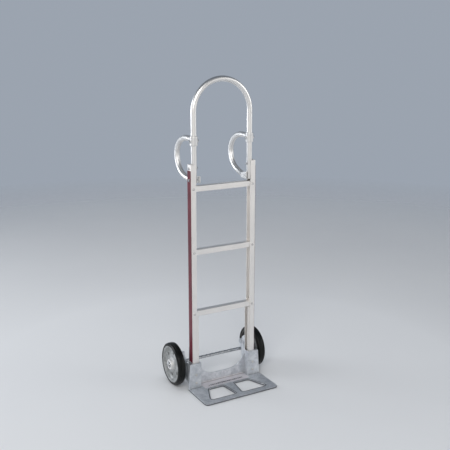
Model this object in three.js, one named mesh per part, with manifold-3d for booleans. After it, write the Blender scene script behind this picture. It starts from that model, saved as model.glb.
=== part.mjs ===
// Two-wheeled hand truck with a loop handle, two hand grips and a cast nose plate.
// Millimetres, +Z up. The load stands on the nose plate, on the -Y side of the rails, and the
// wheels are behind them, on the +Y side. Y = 0 is the front face of the rails while the parts
// are being made; the whole truck is then moved so that the origin is under its middle.
// A left-hand piece is its right-hand piece mirrored in the plane X = 0.

import * as THREE from 'three';
import { mergeVertices } from 'three/addons/utils/BufferGeometryUtils.js';
import Module from 'manifold-3d';

const wasm = await Module();
wasm.setup();

// ---------------------------------------------------------------- driving dimensions

const GAP = 0.3; // clearance between pieces that touch

const RAIL_OUTER_X = 198;
const RAIL_FLANGE = 30.5;
const RAIL_DEPTH = 42;
const RAIL_WALL = 3.5;
const RAIL_BOTTOM = 14;
const RAIL_TOP = 1264;

const BRACE_BOTTOMS = { top: 1119, middle: 771, bottom: 423 };
const BRACE_HEIGHT = 30;
const BRACE_WALL = 3;
const LOWER_CHANNEL_TOP = 420;
const LOWER_CHANNEL_INNER_X = 157.5;
const LOWER_CHANNEL_WALL = 3.2;

const STRIP_BOTTOM = 156;
const STRIP_TOP = 1232;
const STRIP_THICKNESS = 1.4;
const STRIP_INSET = 2;
const STRIP_HOLE_RADIUS = 9;

const TUBE_RADIUS = 15.6;
const TUBE_WALL = 2.6;
const LOOP_RADIUS = 170;
const OVERALL_HEIGHT = 1721.6;
const TUBE_BOTTOM = 1161;
const HANDLE_BOLT_HEIGHTS = { upper: 1243, lower: 1180 };

const COLLAR_RADIUS = 21.5;
const COLLAR_BOTTOM = 1361;
const COLLAR_TOP = 1413;
const COLLAR_BOLT_Z = 1387;
const COLLAR_BOSS_RADIUS = 10;
const GRIP_BAR_RADIUS = 15.5;
const LUG_THICKNESS = 7;

const PLATE_HALF_WIDTH = 229;
const PLATE_FRONT_Y = -216;
const PLATE_THICKNESS = 10;
const PLATE_SKIN = 5.5;
const SOCKET_FACE_Y = -12;
const SOCKET_INNER_X = 150;
const SOCKET_OUTER_X = 205;
const SOCKET_TOP = 152;
const WEB_FRONT_Y = 27;
const WEB_THICKNESS = 9;
const ARCH_LOW = 57;
const ARCH_RISE = 80;
const NOSE_BOLT_HEIGHTS = { upper: 86, lower: 38 };

const AXLE_Y = 120;
const AXLE_RADIUS = 9;
const AXLE_HALF_LENGTH = 296;
const AXLE_CHAMFER = 1.5;
const AXLE_BOSS_RADIUS = 16;
const BRACKET_BOLT_HEIGHTS = { upper: 202, lower: 70 };
const BRACKET_BOTTOM = 28;
const BRACKET_TOP = 232;
const BRACKET_WALL = 7;
const GUSSET_THICKNESS = 6;
const EAR_TOP = 138;
const HORN_Y = 138;
const HORN_Z = 161;
const HORN_RADIUS = 11;
const HORN_INNER_X = 182;
const SPACER_RADIUS = 13.5;
const WASHER_THICKNESS = 2;
const WASHER_RADIUS = 15;
const CLIP_THICKNESS = 1.4;
const CLIP_SEAT_RADIUS = 7.4; // the bottom of the groove that holds the clip
const CLIP_RADIUS = 12.5;

const WHEEL_RADIUS = 120;
const WHEEL_WIDTH = 46;
const WHEEL_X = 259;
const HUB_RADIUS = 104;
const RIM_RECESS = 2.5;
const HUB_HALF_LENGTH = 28.5;
const HUB_HOLES = 6;
const HUB_HOLE_RADIUS = 9;
const HUB_HOLE_CIRCLE = 66;
const HUB_HOLE_START = 0.65; // radians
const WHEEL_SIDES = 32;
const BEARING_RADIUS = 20;
const BEARING_WIDTH = 12;
const BEARING_RECESS = 0.4;
const SLEEVE_RADIUS = 12.5;

const BOLT_RADIUS = 4;
const BOLT_SIDES = 8;
const BOLT_HOLE_RADIUS = (BOLT_RADIUS + GAP) / Math.cos(Math.PI / BOLT_SIDES);
const NUT_RADIUS = 7.5; // from the middle to a corner of the hexagon
const NUT_HEIGHT = 5;
const HEAD_HEIGHT = 5;
const BUTTON_HEIGHT = 3.5;
const SHANK_OVERLAP = 1; // how far a shank runs into its own head, or a cutter past a face
const RING_SIDES = 16;

// ---------------------------------------------------------------- values that follow

const AXLE_Z = WHEEL_RADIUS;
const RAIL_INNER_X = RAIL_OUTER_X - RAIL_FLANGE;
const RAIL_MID_X = RAIL_OUTER_X - RAIL_FLANGE / 2;
const RAIL_MID_Y = RAIL_DEPTH / 2;
const NEST_X = RAIL_OUTER_X - RAIL_WALL - GAP;
const NEST_FRONT_Y = RAIL_WALL + GAP;
const NEST_REAR_Y = RAIL_DEPTH - RAIL_WALL - GAP;
const TUBE_INNER_X = LOOP_RADIUS - TUBE_RADIUS;
const TUBE_OUTER_X = LOOP_RADIUS + TUBE_RADIUS;
const LUG_INNER_X = TUBE_INNER_X - GAP - LUG_THICKNESS;
const LOOP_CENTRE_Z = OVERALL_HEIGHT - LOOP_RADIUS - TUBE_RADIUS;
const COLLAR_BOSS_REACH = COLLAR_RADIUS + 1.5;
const REAR_FACE_Y = RAIL_DEPTH + GAP;
const BRACKET_REAR_Y = REAR_FACE_Y + BRACKET_WALL;
const BRACKET_INNER_X = RAIL_INNER_X + 1;
const EAR_INNER_X = RAIL_OUTER_X + 1;
const EAR_OUTER_X = EAR_INNER_X + BRACKET_WALL;
const BRACKET_END_X = EAR_OUTER_X + 2;
const HUB_INNER_END_X = WHEEL_X - HUB_HALF_LENGTH;
const HUB_OUTER_END_X = WHEEL_X + HUB_HALF_LENGTH;
const WASHER_X = HUB_OUTER_END_X + GAP;
const CLIP_X = WASHER_X + WASHER_THICKNESS + GAP;
const MIDDLE_Y = (PLATE_FRONT_Y + AXLE_Y + WHEEL_RADIUS) / 2; // the grips reach as far back as the wheels

// ---------------------------------------------------------------- solids

/** The geometry with its triangles wound so that its faces point outwards. */
function facingOut(geometry) {
  const bare = new THREE.BufferGeometry();
  bare.setAttribute('position', geometry.attributes.position.clone());
  bare.setIndex(geometry.index ? geometry.index.clone() : null);
  const welded = mergeVertices(bare, 1e-4);
  const corner = [new THREE.Vector3(), new THREE.Vector3(), new THREE.Vector3()];
  const index = welded.index.array;
  let volume = 0;
  for (let i = 0; i < index.length; i += 3) {
    corner.forEach((point, k) => point.fromBufferAttribute(welded.attributes.position, index[i + k]));
    volume += corner[0].dot(corner[1].clone().cross(corner[2]));
  }
  if (volume < 0) {
    for (let i = 0; i < index.length; i += 3) {
      [index[i], index[i + 1]] = [index[i + 1], index[i]];
    }
  }
  welded.computeVertexNormals();
  return welded;
}

function solidFrom(geometry) {
  const welded = facingOut(geometry);
  return new wasm.Manifold(new wasm.Mesh({
    numProp: 3,
    vertProperties: new Float32Array(welded.attributes.position.array),
    triVerts: new Uint32Array(welded.index.array),
  }));
}

function geometryFrom(solid) {
  const mesh = solid.getMesh();
  const geometry = new THREE.BufferGeometry();
  geometry.setAttribute('position', new THREE.BufferAttribute(mesh.vertProperties, mesh.numProp));
  geometry.setIndex(new THREE.BufferAttribute(mesh.triVerts, 1));
  geometry.computeVertexNormals();
  return geometry;
}

function join(...geometries) {
  return geometryFrom(geometries.map(solidFrom).reduce((whole, piece) => whole.add(piece)));
}

function cut(body, ...tools) {
  const whole = solidFrom(body);
  return geometryFrom(tools.map(solidFrom).reduce((rest, tool) => rest.subtract(tool), whole));
}

function mirrored(geometry) {
  return facingOut(geometry.clone().scale(-1, 1, 1));
}

/** A block between two opposite corners, each an [x, y, z]. */
function block(low, high) {
  const size = high.map((value, k) => value - low[k]);
  const centre = high.map((value, k) => (value + low[k]) / 2);
  return new THREE.BoxGeometry(...size).translate(...centre);
}

function rodX(x0, x1, y, z, radius, sides = BOLT_SIDES) {
  const rod = new THREE.CylinderGeometry(radius, radius, Math.abs(x1 - x0), sides);
  return rod.rotateZ(-Math.PI / 2).translate((x0 + x1) / 2, y, z);
}

function rodY(y0, y1, x, z, radius, sides = BOLT_SIDES) {
  const rod = new THREE.CylinderGeometry(radius, radius, Math.abs(y1 - y0), sides);
  return rod.translate(x, (y0 + y1) / 2, z);
}

function rodZ(z0, z1, x, y, radius) {
  const rod = new THREE.CylinderGeometry(radius, radius, Math.abs(z1 - z0), RING_SIDES);
  return rod.rotateX(Math.PI / 2).translate(x, y, (z0 + z1) / 2);
}

/** An outline in X and Y, raised from z0 to z1. */
function prismZ(shape, z0, z1, curveSegments = 4) {
  const options = { depth: z1 - z0, bevelEnabled: false, curveSegments };
  return new THREE.ExtrudeGeometry(shape, options).translate(0, 0, z0);
}

/** An outline in Y and Z, drawn out from x0 to x1. */
function prismX(shape, x0, x1, curveSegments = 4) {
  const turn = new THREE.Matrix4().makeBasis(
    new THREE.Vector3(0, 1, 0), new THREE.Vector3(0, 0, 1), new THREE.Vector3(1, 0, 0));
  return prismZ(shape, 0, x1 - x0, curveSegments).applyMatrix4(turn).translate(x0, 0, 0);
}

/** An outline in X and Z, drawn out from y0 to y1. */
function prismY(shape, y0, y1, curveSegments = 4) {
  const turn = new THREE.Matrix4().makeBasis(
    new THREE.Vector3(1, 0, 0), new THREE.Vector3(0, 0, 1), new THREE.Vector3(0, -1, 0));
  return prismZ(shape, 0, y1 - y0, curveSegments).applyMatrix4(turn).translate(0, y1, 0);
}

/** A profile of [x, radius] points turned about the X axis. */
function turnedX(profile, sides) {
  const points = profile.map(([x, radius]) => new THREE.Vector2(radius, x));
  return new THREE.LatheGeometry(points, sides).rotateZ(-Math.PI / 2);
}

/** A plain ring about the X axis. */
function ringX(x0, x1, inner, outer) {
  return turnedX([[x0, inner], [x0, outer], [x1, outer], [x1, inner], [x0, inner]], RING_SIDES);
}

function polygon(points) {
  return new THREE.Shape(points.map(([x, y]) => new THREE.Vector2(x, y)));
}

/** A closed outline whose corners, each an [x, y, radius], are rounded. */
function roundedPolygon(corners, Kind = THREE.Shape) {
  const outline = new Kind();
  corners.forEach(([x, y, radius], k) => {
    const before = corners[(k + corners.length - 1) % corners.length];
    const after = corners[(k + 1) % corners.length];
    const corner = new THREE.Vector2(x, y);
    const towards = (other) => new THREE.Vector2(other[0], other[1]).sub(corner).setLength(radius);
    const entry = corner.clone().add(towards(before));
    const exit = corner.clone().add(towards(after));
    if (k === 0) {
      outline.moveTo(entry.x, entry.y);
    } else {
      outline.lineTo(entry.x, entry.y);
    }
    if (radius > 0) {
      outline.quadraticCurveTo(x, y, exit.x, exit.y);
    }
  });
  outline.closePath();
  return outline;
}

/** A path made of curves end to end, each swept in its own number of steps. */
class SteppedPath extends THREE.Curve {
  constructor(legs) {
    super();
    this.legs = legs;
    this.steps = legs.reduce((sum, leg) => sum + leg.steps, 0);
  }

  locate(t) {
    let step = t * this.steps;
    for (const leg of this.legs) {
      if (step <= leg.steps + 1e-9) {
        return [leg.curve, Math.min(step / leg.steps, 1)];
      }
      step -= leg.steps;
    }
    return [this.legs.at(-1).curve, 1];
  }

  getPoint(t) {
    const [curve, along] = this.locate(t);
    return curve.getPoint(along);
  }

  getPointAt(t) {
    return this.getPoint(t);
  }

  getTangentAt(t) {
    const [curve, along] = this.locate(t);
    return curve.getTangent(along);
  }
}

/** Half a circle in the plane Y = y, from +X over the top to -X. */
class TopArc extends THREE.Curve {
  constructor(radius, y, z) {
    super();
    Object.assign(this, { radius, y, z });
  }

  getPoint(t) {
    const angle = Math.PI * t;
    const x = this.radius * Math.cos(angle);
    return new THREE.Vector3(x, this.y, this.z + this.radius * Math.sin(angle));
  }

  getTangent(t) {
    const angle = Math.PI * t;
    return new THREE.Vector3(-Math.sin(angle), 0, Math.cos(angle));
  }
}

function sweep(shape, path, steps, curveSegments) {
  return new THREE.ExtrudeGeometry(shape, { steps, extrudePath: path, curveSegments });
}

function circle(radius, Kind = THREE.Shape) {
  return new Kind().absarc(0, 0, radius, 0, 2 * Math.PI);
}

// ---------------------------------------------------------------- materials

function metal(color, roughness) {
  return new THREE.MeshStandardMaterial({ color, roughness, metalness: 1 });
}

function satinAluminium() {
  return metal(0xd6d2cc, 0.45);
}

function polishedAluminium() {
  return metal(0xdcdcdc, 0.22);
}

function castAluminium() {
  return metal(0x9ba3aa, 0.6);
}

function castHubAluminium() {
  return metal(0x8f9696, 0.5);
}

function zincSteel() {
  return metal(0xa9adb0, 0.4);
}

function bearingSteel() {
  return metal(0xc4c6c8, 0.25);
}

function redVinyl() {
  return new THREE.MeshStandardMaterial({ color: 0x6e3b45, roughness: 0.5, metalness: 0 });
}

function blackRubber() {
  return new THREE.MeshStandardMaterial({ color: 0x121413, roughness: 0.4, metalness: 0 });
}

// ---------------------------------------------------------------- frame

/** A channel outline, open towards the middle of the truck. */
function channelOutline(innerX, outerX, frontY, rearY, wall, corner) {
  return roundedPolygon([
    [innerX, frontY, 0], [outerX, frontY, corner], [outerX, rearY, corner], [innerX, rearY, 0],
    [innerX, rearY - wall, 0], [outerX - wall, rearY - wall, 0],
    [outerX - wall, frontY + wall, 0], [innerX, frontY + wall, 0],
  ]);
}

function handleBoltHoles(x0, x1) {
  return Object.values(HANDLE_BOLT_HEIGHTS).map((z) => rodX(x0, x1, RAIL_MID_Y, z, BOLT_HOLE_RADIUS));
}

function frontBoltHoles(heights, y0, y1) {
  return heights.map((z) => rodY(y0, y1, RAIL_MID_X, z, BOLT_HOLE_RADIUS));
}

function rail() {
  const outline = channelOutline(RAIL_INNER_X, RAIL_OUTER_X, 0, RAIL_DEPTH, RAIL_WALL, 2);
  const rivets = Object.values(BRACE_BOTTOMS).map((bottom) => bottom + BRACE_HEIGHT / 2);
  const front = [...rivets, ...Object.values(NOSE_BOLT_HEIGHTS)];
  const rear = Object.values(BRACKET_BOLT_HEIGHTS);
  return cut(
    prismZ(outline, RAIL_BOTTOM, RAIL_TOP, 2),
    ...handleBoltHoles(RAIL_OUTER_X - RAIL_WALL - 1, RAIL_OUTER_X + 1),
    ...frontBoltHoles(front, -1, RAIL_WALL + 1),
    ...frontBoltHoles(rear, RAIL_DEPTH - RAIL_WALL - 1, RAIL_DEPTH + 1),
  );
}

/** A facing strip on the outside of a rail, holed to clear the head of the lower handle bolt. */
function sideStrip() {
  const x0 = RAIL_OUTER_X + GAP;
  const x1 = x0 + STRIP_THICKNESS;
  const boltZ = HANDLE_BOLT_HEIGHTS.lower;
  return cut(
    block([x0, STRIP_INSET, STRIP_BOTTOM], [x1, RAIL_DEPTH - STRIP_INSET, STRIP_TOP]),
    rodX(RAIL_OUTER_X, x1 + 1, RAIL_MID_Y, boltZ, STRIP_HOLE_RADIUS),
  );
}

/** A channel across the frame, open at the back, with a shallow groove along its top. */
function crossBrace(bottom) {
  const top = bottom + BRACE_HEIGHT;
  const outline = polygon([
    [NEST_FRONT_Y, bottom], [NEST_REAR_Y, bottom], [NEST_REAR_Y, bottom + BRACE_WALL],
    [NEST_FRONT_Y + BRACE_WALL, bottom + BRACE_WALL], [NEST_FRONT_Y + BRACE_WALL, top - BRACE_WALL],
    [NEST_REAR_Y, top - BRACE_WALL], [NEST_REAR_Y, top],
    [NEST_FRONT_Y + 8, top], [NEST_FRONT_Y + 7, top - 1.2],
    [NEST_FRONT_Y + 5, top - 1.2], [NEST_FRONT_Y + 4, top], [NEST_FRONT_Y, top],
  ]);
  const reach = NEST_X - 3;
  const holes = [-RAIL_MID_X, RAIL_MID_X].map(
    (x) => rodY(0, NEST_FRONT_Y + BRACE_WALL + 1, x, bottom + BRACE_HEIGHT / 2, BOLT_HOLE_RADIUS));
  return cut(prismX(outline, -reach, reach), ...holes);
}

function lowerChannel() {
  const outline = channelOutline(
    LOWER_CHANNEL_INNER_X, NEST_X, NEST_FRONT_Y, NEST_REAR_Y, LOWER_CHANNEL_WALL, 1.5);
  const frontWallEnd = NEST_FRONT_Y + LOWER_CHANNEL_WALL + 1;
  const rearWallStart = NEST_REAR_Y - LOWER_CHANNEL_WALL - 1;
  return cut(
    prismZ(outline, RAIL_BOTTOM, LOWER_CHANNEL_TOP, 2),
    ...frontBoltHoles(Object.values(NOSE_BOLT_HEIGHTS), 0, frontWallEnd),
    ...frontBoltHoles(Object.values(BRACKET_BOLT_HEIGHTS), rearWallStart, RAIL_DEPTH),
  );
}

/** A round-headed rivet through a rail flange and the face of a cross brace. */
function braceRivet() {
  const tail = NEST_FRONT_Y + BRACE_WALL + GAP;
  return turnedX([
    [-4.3, 0], [-3.4, 4.5], [-GAP, 7.5], [-GAP, BOLT_RADIUS],
    [tail, BOLT_RADIUS], [tail, 6.2], [tail + 3, 5], [tail + 3, 0],
  ], BOLT_SIDES).rotateZ(Math.PI / 2);
}

// ---------------------------------------------------------------- handles

function loopHandle() {
  const y = RAIL_MID_Y;
  const foot = (side) => new THREE.Vector3(side * LOOP_RADIUS, y, TUBE_BOTTOM);
  const shoulder = (side) => new THREE.Vector3(side * LOOP_RADIUS, y, LOOP_CENTRE_Z);
  const path = new SteppedPath([
    { curve: new THREE.LineCurve3(foot(1), shoulder(1)), steps: 1 },
    { curve: new TopArc(LOOP_RADIUS, y, LOOP_CENTRE_Z), steps: 18 },
    { curve: new THREE.LineCurve3(shoulder(-1), foot(-1)), steps: 1 },
  ]);
  const section = circle(TUBE_RADIUS);
  section.holes.push(circle(TUBE_RADIUS - TUBE_WALL, THREE.Path));
  const holes = [-1, 1].flatMap((side) => {
    const ends = [side * (TUBE_INNER_X - 1), side * (TUBE_OUTER_X + 1)];
    const heights = [...Object.values(HANDLE_BOLT_HEIGHTS), COLLAR_BOLT_Z];
    return heights.map((z) => rodX(...ends, y, z, BOLT_HOLE_RADIUS));
  });
  return cut(sweep(section, path, path.steps, 6), ...holes);
}

/** The packing block between the tube and the inside of a rail. */
function handleSpacer() {
  const halfDepth = 14;
  const margin = 8;
  const { upper, lower } = HANDLE_BOLT_HEIGHTS;
  const packing = block(
    [TUBE_OUTER_X + GAP, RAIL_MID_Y - halfDepth, lower - margin],
    [NEST_X, RAIL_MID_Y + halfDepth, upper + margin],
  );
  return cut(packing, ...handleBoltHoles(TUBE_OUTER_X, NEST_X + 1));
}

/** A hexagon head, a shank and a nut on it, along X; the head is at the outer end. */
function boltAlongX(z, nutX, headX) {
  return join(
    rodX(headX, headX + HEAD_HEIGHT, RAIL_MID_Y, z, NUT_RADIUS, 6),
    rodX(nutX - NUT_HEIGHT - 1, headX + SHANK_OVERLAP, RAIL_MID_Y, z, BOLT_RADIUS),
    rodX(nutX - NUT_HEIGHT, nutX, RAIL_MID_Y, z, NUT_RADIUS, 6),
  );
}

function handleBolt(which) {
  const seat = which === 'lower' ? LUG_INNER_X : TUBE_INNER_X;
  return boltAlongX(HANDLE_BOLT_HEIGHTS[which], seat - GAP, RAIL_OUTER_X + GAP);
}

/** The D-shaped bar of a hand grip, from its collar round to its lug. */
function gripBar() {
  const x = LOOP_RADIUS;
  const path = new THREE.CatmullRomCurve3([
    [x, 34, 1392], [x, 84, 1396], [x, 134, 1392], [x, 190, 1366], [x, 219, 1327], [x, 224.3, 1287],
    [x, 212, 1246], [x, 182, 1210], [x, 136, 1188], [x - 4, 98, 1180], [x - 16, 52, 1177],
  ].map((point) => new THREE.Vector3(...point)), false, 'centripetal');
  return sweep(circle(GRIP_BAR_RADIUS), path, 20, 5);
}

/** A cast hand grip: a collar round the tube, a bar and a lug on the lower handle bolt. */
function grip() {
  const bossStart = LOOP_RADIUS - COLLAR_BOSS_REACH;
  const bossEnd = LOOP_RADIUS + COLLAR_BOSS_REACH;
  const lug = roundedPolygon([[4, 1161, 9], [62, 1163, 12], [62, 1191, 12], [4, 1203, 9]]);
  const body = join(
    rodZ(COLLAR_BOTTOM, COLLAR_TOP, LOOP_RADIUS, RAIL_MID_Y, COLLAR_RADIUS),
    rodX(bossStart, bossEnd, RAIL_MID_Y, COLLAR_BOLT_Z, COLLAR_BOSS_RADIUS, 12),
    gripBar(),
    prismX(lug, LUG_INNER_X, LUG_INNER_X + LUG_THICKNESS, 3),
  );
  return cut(
    body,
    rodZ(COLLAR_BOTTOM - 1, COLLAR_TOP + 1, LOOP_RADIUS, RAIL_MID_Y, TUBE_RADIUS + 2 * GAP),
    rodX(bossStart - 1, bossEnd + 1, RAIL_MID_Y, COLLAR_BOLT_Z, BOLT_HOLE_RADIUS),
    rodX(LUG_INNER_X - 1, TUBE_INNER_X, RAIL_MID_Y, HANDLE_BOLT_HEIGHTS.lower, BOLT_HOLE_RADIUS),
  );
}

function gripCollarBolt() {
  const reach = COLLAR_BOSS_REACH + GAP;
  return boltAlongX(COLLAR_BOLT_Z, LOOP_RADIUS - reach, LOOP_RADIUS + reach);
}

// ---------------------------------------------------------------- nose plate

/** One of the two windows in the toe plate; side is -1 or 1. */
function plateWindow(side) {
  return roundedPolygon([
    [side * 35, -56, 10], [side * 126, -56, 14], [side * 173, -168, 12], [side * 166, -174, 4],
    [side * 21, -174, 12],
  ], THREE.Path);
}

function toePlate() {
  const outline = roundedPolygon([
    [-PLATE_HALF_WIDTH, PLATE_FRONT_Y, 26], [PLATE_HALF_WIDTH, PLATE_FRONT_Y, 26],
    [PLATE_HALF_WIDTH, -GAP, 3], [SOCKET_OUTER_X, -GAP, 0], [SOCKET_OUTER_X, RAIL_DEPTH, 0],
    [-SOCKET_OUTER_X, RAIL_DEPTH, 0], [-SOCKET_OUTER_X, -GAP, 0], [-PLATE_HALF_WIDTH, -GAP, 3],
  ]);
  outline.holes.push(plateWindow(-1), plateWindow(1));
  return prismZ(outline, 0, PLATE_THICKNESS);
}

/** Hollows under the toe plate, which leave a skin, a rim and ribs. */
function underPockets() {
  const depth = PLATE_THICKNESS - PLATE_SKIN;
  const rear = block([-140, -44, -1], [140, 18, depth]);
  const sides = [-1, 1].map((side) => {
    const corners = [[190, -168], [219, -168], [219, -30], [148, -30]];
    return prismZ(polygon(corners.map(([x, y]) => [side * x, y])), -1, depth);
  });
  return [rear, ...sides];
}

/** The walls round the foot of one rail, on the right-hand side. */
function socketWalls() {
  const low = PLATE_THICKNESS / 2;
  const face = polygon([
    [SOCKET_INNER_X, low], [PLATE_HALF_WIDTH, low], [PLATE_HALF_WIDTH - 1, 24],
    [220, SOCKET_TOP], [SOCKET_INNER_X, SOCKET_TOP],
  ]);
  const innerWall = LOWER_CHANNEL_INNER_X - GAP;
  const outerWall = RAIL_OUTER_X + GAP;
  return [
    prismY(face, SOCKET_FACE_Y, -GAP),
    block([SOCKET_INNER_X, -1, low], [innerWall, RAIL_DEPTH, SOCKET_TOP]),
    block([outerWall, -1, low], [SOCKET_OUTER_X, RAIL_DEPTH, SOCKET_TOP]),
    block([SOCKET_INNER_X, -1, low], [SOCKET_OUTER_X, RAIL_DEPTH, RAIL_BOTTOM - GAP]),
  ];
}

/** The web between the sockets, with its top edge swept down in an arch. */
function backWeb() {
  const half = SOCKET_INNER_X + 1;
  const steps = 16;
  const arch = Array.from({ length: steps + 1 }, (_, k) => {
    const x = half * (1 - 2 * k / steps);
    return [x, ARCH_LOW + ARCH_RISE * (x / half) ** 4];
  });
  const low = PLATE_THICKNESS / 2;
  const outline = polygon([[-half, low], [half, low], ...arch]);
  return prismY(outline, WEB_FRONT_Y, WEB_FRONT_Y + WEB_THICKNESS);
}

function nosePlate() {
  const walls = socketWalls();
  const body = join(toePlate(), backWeb(), ...walls, ...walls.map(mirrored));
  const holes = Object.values(NOSE_BOLT_HEIGHTS).flatMap((z) => [-RAIL_MID_X, RAIL_MID_X].map(
    (x) => rodY(SOCKET_FACE_Y - 1, 1, x, z, BOLT_HOLE_RADIUS)));
  return cut(body, ...underPockets(), ...holes);
}

/** A button-headed bolt with its nut, along Y; the head is in front. */
function noseBolt(z) {
  const head = SOCKET_FACE_Y - GAP;
  const nut = NEST_FRONT_Y + LOWER_CHANNEL_WALL + GAP;
  return join(
    rodY(head - BUTTON_HEIGHT, head, RAIL_MID_X, z, NUT_RADIUS, 12),
    rodY(head - SHANK_OVERLAP, nut + NUT_HEIGHT + 1, RAIL_MID_X, z, BOLT_RADIUS),
    rodY(nut, nut + NUT_HEIGHT, RAIL_MID_X, z, NUT_RADIUS, 6),
  );
}

// ---------------------------------------------------------------- axle and brackets

/**
 * A cast bracket behind a rail: a flange on the rail, a gusset behind the flange's inner edge,
 * an ear outboard of the rail, and an arm from the boss on the axle up to the horn above it.
 */
function axleBracket() {
  const ear = roundedPolygon([
    [REAR_FACE_Y, BRACKET_BOTTOM, 0], [112, 32, 14], [140, 96, 20], [140, 132, 12],
    [118, EAR_TOP, 10], [72, 131, 12], [REAR_FACE_Y, EAR_TOP, 0],
  ]);
  const arm = roundedPolygon([
    [104, 122, 8], [136, 118, 8], [150, 156, 7], [144, 170, 7], [126, 166, 8], [118, 142, 8],
  ]);
  const gusset = roundedPolygon([
    [REAR_FACE_Y, 44, 0], [82, 60, 10], [92, 100, 12], [97, 126, 12], [86, 152, 12],
    [92, 196, 12], [78, 218, 12], [REAR_FACE_Y, BRACKET_TOP, 0],
  ]);
  const slot = roundedPolygon([[66, 164, 3], [76, 164, 3], [79, 186, 3], [69, 186, 3]]);
  const gussetEnd = BRACKET_INNER_X + GUSSET_THICKNESS;
  const body = join(
    block(
      [BRACKET_INNER_X, REAR_FACE_Y, BRACKET_BOTTOM],
      [RAIL_OUTER_X - GAP, BRACKET_REAR_Y, BRACKET_TOP],
    ),
    block(
      [RAIL_MID_X, REAR_FACE_Y, BRACKET_BOTTOM],
      [EAR_OUTER_X, BRACKET_REAR_Y, EAR_TOP],
    ),
    cut(
      prismX(gusset, BRACKET_INNER_X, gussetEnd, 3),
      prismX(slot, BRACKET_INNER_X - 1, gussetEnd + 1, 2),
    ),
    prismX(ear, EAR_INNER_X, EAR_OUTER_X, 3),
    prismX(arm, HORN_INNER_X + 3, EAR_OUTER_X, 3),
    rodX(HORN_INNER_X, EAR_OUTER_X + 1, HORN_Y, HORN_Z, HORN_RADIUS, 12),
    rodX(HORN_INNER_X - 1, BRACKET_END_X, AXLE_Y, AXLE_Z, AXLE_BOSS_RADIUS, RING_SIDES),
  );
  return cut(
    body,
    rodX(BRACKET_INNER_X, BRACKET_END_X + 1, AXLE_Y, AXLE_Z, AXLE_RADIUS + GAP, RING_SIDES),
    ...frontBoltHoles(Object.values(BRACKET_BOLT_HEIGHTS), REAR_FACE_Y - 1, BRACKET_REAR_Y + 1),
  );
}

function bracketBolt(z) {
  const head = BRACKET_REAR_Y + GAP;
  const nut = NEST_REAR_Y - LOWER_CHANNEL_WALL - GAP;
  return join(
    rodY(head, head + HEAD_HEIGHT, RAIL_MID_X, z, NUT_RADIUS, 6),
    rodY(nut - NUT_HEIGHT - 1, head + SHANK_OVERLAP, RAIL_MID_X, z, BOLT_RADIUS),
    rodY(nut - NUT_HEIGHT, nut, RAIL_MID_X, z, NUT_RADIUS, 6),
  );
}

/** A plain round axle with chamfered ends and a groove for a clip near each end. */
function axle() {
  const end = AXLE_HALF_LENGTH;
  const grooveStart = CLIP_X - GAP / 2;
  const grooveEnd = CLIP_X + CLIP_THICKNESS + GAP / 2;
  const half = [
    [grooveStart, AXLE_RADIUS], [grooveStart, CLIP_SEAT_RADIUS],
    [grooveEnd, CLIP_SEAT_RADIUS], [grooveEnd, AXLE_RADIUS],
    [end - AXLE_CHAMFER, AXLE_RADIUS], [end, AXLE_RADIUS - AXLE_CHAMFER], [end, 0],
  ];
  const otherHalf = half.map(([x, radius]) => [-x, radius]).reverse();
  return turnedX([...otherHalf, ...half], RING_SIDES);
}

function innerSpacer() {
  return ringX(BRACKET_END_X + GAP, HUB_INNER_END_X - GAP, AXLE_RADIUS + GAP, SPACER_RADIUS);
}

function outerWasher() {
  return ringX(WASHER_X, WASHER_X + WASHER_THICKNESS, AXLE_RADIUS + GAP, WASHER_RADIUS);
}

/** A spring clip: an open ring in the axle's groove. */
function axleClip() {
  const half = Math.PI * 0.88;
  const outline = new THREE.Shape();
  outline.absarc(0, 0, CLIP_RADIUS, -half, half);
  outline.absarc(0, 0, CLIP_SEAT_RADIUS + GAP, half, -half, true);
  return prismX(outline, CLIP_X, CLIP_X + CLIP_THICKNESS, 7);
}

// ---------------------------------------------------------------- wheels, about their own centre

/** A turned solid with one of its flats, not an edge, at the bottom of the wheel. */
function flatDown(geometry) {
  return geometry.rotateX(Math.PI / WHEEL_SIDES);
}

/** A rubber tyre with a groove near its outer shoulder; its flats touch the true radius. */
function tyre() {
  const half = WHEEL_WIDTH / 2;
  const bond = HUB_RADIUS + GAP;
  const tread = WHEEL_RADIUS / Math.cos(Math.PI / WHEEL_SIDES);
  return flatDown(turnedX([
    [-half, bond], [-half, 109], [5 - half, 116.8], [12 - half, tread], [6, tread], [8, 117],
    [11, 117], [13, 119.2], [half - 4, 116.8], [half, 109], [half, bond], [-half, bond],
  ], WHEEL_SIDES));
}

/** A hub with a deep rim, a dished web with round holes and a boss bored for the bearings. */
function hub() {
  const rimHalf = WHEEL_WIDTH / 2 - RIM_RECESS;
  const body = flatDown(turnedX([
    [-rimHalf, 92], [-rimHalf, HUB_RADIUS], [rimHalf, HUB_RADIUS], [rimHalf, 93],
    [9, 88], [4, 80], [8, 36], [HUB_HALF_LENGTH, 27],
    [HUB_HALF_LENGTH, BEARING_RADIUS + GAP], [-HUB_HALF_LENGTH, BEARING_RADIUS + GAP],
    [-HUB_HALF_LENGTH, 27], [0, 36], [-3, 82], [-rimHalf, 92],
  ], WHEEL_SIDES));
  const holes = Array.from({ length: HUB_HOLES }, (_, k) => {
    const angle = (2 * Math.PI * k) / HUB_HOLES + HUB_HOLE_START;
    const y = HUB_HOLE_CIRCLE * Math.cos(angle);
    const z = HUB_HOLE_CIRCLE * Math.sin(angle);
    return rodX(-12, 14, y, z, HUB_HOLE_RADIUS, 10);
  });
  return cut(body, ...holes);
}

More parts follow.
